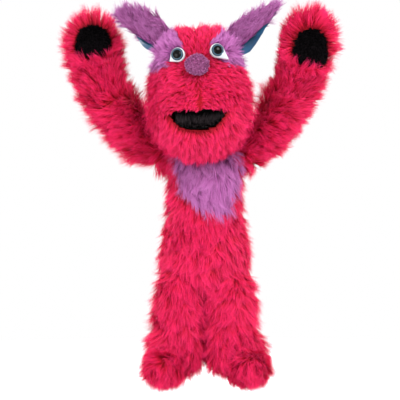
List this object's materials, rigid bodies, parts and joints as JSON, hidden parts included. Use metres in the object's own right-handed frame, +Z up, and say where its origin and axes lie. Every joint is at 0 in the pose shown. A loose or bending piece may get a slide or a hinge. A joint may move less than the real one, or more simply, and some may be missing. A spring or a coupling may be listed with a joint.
{
  "type": "moving mouth puppet",
  "caption": "Full-body shaggy fur hand puppet with a hinged moving mouth, raised jointed arms, floppy ears and dangling legs.",
  "frame": {"origin": "centre of the hand opening's outer rim at the lower back of the torso", "axes": "+Z up the body, the face looks towards -Y, +X is to the right as seen from the front"},
  "size_m": [0.3198, 0.1902, 0.4573],
  "materials": {
    "red_fur": "long shaggy pile",
    "purple_fur": "long shaggy pile",
    "black_plush": "short plush",
    "blue_satin": "satin",
    "purple_velour": "short velour",
    "stuffing": "polyester fibre fill",
    "lining_cloth": "woven cotton",
    "label_tape": "woven tape",
    "board": "plain grey-brown board",
    "eye_white_plastic": "polished",
    "iris_plastic": "polished",
    "pupil_plastic": "polished",
    "washer_plastic": "moulded"
  },
  "bodies": {
    "torso": {"torso_pelt_front_upper": "red_fur", "torso_pelt_front_lower": "red_fur", "torso_pelt_back_upper": "red_fur", "torso_pelt_back_lower": "red_fur", "chest_patch": "purple_fur", "torso_stuffing_west": "stuffing", "torso_stuffing_east": "stuffing", "sleeve_lining": "lining_cloth", "hem_band": "lining_cloth", "care_label": "label_tape"},
    "neck": {"neck_pelt": "red_fur", "neck_lining": "lining_cloth"},
    "head": {"head_pelt_front": "red_fur", "head_pelt_back": "red_fur", "head_stuffing": "stuffing", "finger_pocket": "lining_cloth", "upper_mouth_board": "board", "upper_mouth_lining": "black_plush", "nose_cover": "purple_velour", "nose_filling": "stuffing", "brow_west": "purple_fur", "eye_white_west": "eye_white_plastic", "iris_west": "iris_plastic", "pupil_west": "pupil_plastic", "eye_washer_west": "washer_plastic", "brow_east": "purple_fur", "eye_white_east": "eye_white_plastic", "iris_east": "iris_plastic", "pupil_east": "pupil_plastic", "eye_washer_east": "washer_plastic"},
    "jaw": {"jaw_pelt": "red_fur", "jaw_stuffing": "stuffing", "thumb_pocket": "lining_cloth", "lower_mouth_board": "board", "lower_mouth_lining": "black_plush"},
    "ear_west": {"ear_fur_west": "purple_fur", "ear_satin_west": "blue_satin"},
    "upper_arm_west": {"upper_arm_pelt_west": "red_fur", "upper_arm_stuffing_west": "stuffing"},
    "forearm_west": {"forearm_pelt_west": "red_fur", "forearm_stuffing_west": "stuffing", "paw_pad_west": "black_plush"},
    "thigh_west": {"thigh_pelt_west": "red_fur", "thigh_stuffing_west": "stuffing"},
    "foot_west": {"foot_pelt_west": "red_fur", "foot_stuffing_west": "stuffing"},
    "ear_east": {"ear_fur_east": "purple_fur", "ear_satin_east": "blue_satin"},
    "upper_arm_east": {"upper_arm_pelt_east": "red_fur", "upper_arm_stuffing_east": "stuffing"},
    "forearm_east": {"forearm_pelt_east": "red_fur", "forearm_stuffing_east": "stuffing", "paw_pad_east": "black_plush"},
    "thigh_east": {"thigh_pelt_east": "red_fur", "thigh_stuffing_east": "stuffing"},
    "foot_east": {"foot_pelt_east": "red_fur", "foot_stuffing_east": "stuffing"}
  },
  "joints": [
    {"name": "neck_turn", "type": "hinge", "parent": "torso", "child": "neck", "pos_m": [-0.004, -0.037, 0.158], "axis": [0, 0, 1], "range_deg": [-12, 12]},
    {"name": "head_nod", "type": "hinge", "parent": "neck", "child": "head", "pos_m": [-0.004, -0.037, 0.158], "axis": [0.9981, 0, 0.061], "range_deg": [-12, 12]},
    {"name": "jaw_open", "type": "hinge", "parent": "head", "child": "jaw", "pos_m": [-0.00553, -0.074, 0.18295], "axis": [0.9981, 0, 0.061], "range_deg": [-16, 14]},
    {"name": "ear_flop_west", "type": "hinge", "parent": "head", "child": "ear_west", "pos_m": [-0.05362, -0.087, 0.27319], "axis": [0.5664, 0, 0.8241], "range_deg": [-20, 20]},
    {"name": "ear_flop_east", "type": "hinge", "parent": "head", "child": "ear_east", "pos_m": [0.03122, -0.087, 0.27837], "axis": [-0.5948, 0, 0.8039], "range_deg": [-20, 20]},
    {"name": "shoulder_west", "type": "hinge", "parent": "torso", "child": "upper_arm_west", "pos_m": [-0.0605, -0.04, 0.14], "axis": [0, -1, 0], "range_deg": [-1, 95]},
    {"name": "elbow_west", "type": "hinge", "parent": "upper_arm_west", "child": "forearm_west", "pos_m": [-0.12503, -0.04, 0.22409], "axis": [0, -1, 0], "range_deg": [-2, 60]},
    {"name": "shoulder_east", "type": "hinge", "parent": "torso", "child": "upper_arm_east", "pos_m": [0.0605, -0.04, 0.14], "axis": [0, 1, 0], "range_deg": [-1, 95]},
    {"name": "elbow_east", "type": "hinge", "parent": "upper_arm_east", "child": "forearm_east", "pos_m": [0.1135, -0.04, 0.2318], "axis": [0, 1, 0], "range_deg": [-2, 60]},
    {"name": "hip_west", "type": "hinge", "parent": "torso", "child": "thigh_west", "pos_m": [-0.031, -0.064, -0.032], "axis": [-1, 0, 0], "range_deg": [-12, 30]},
    {"name": "ankle_west", "type": "hinge", "parent": "thigh_west", "child": "foot_west", "pos_m": [-0.034, -0.062, -0.096], "axis": [-1, 0, 0], "range_deg": [-15, 10]},
    {"name": "hip_east", "type": "hinge", "parent": "torso", "child": "thigh_east", "pos_m": [0.031, -0.064, -0.032], "axis": [-1, 0, 0], "range_deg": [-12, 30]},
    {"name": "ankle_east", "type": "hinge", "parent": "thigh_east", "child": "foot_east", "pos_m": [0.034, -0.062, -0.096], "axis": [-1, 0, 0], "range_deg": [-15, 10]}
  ]
}
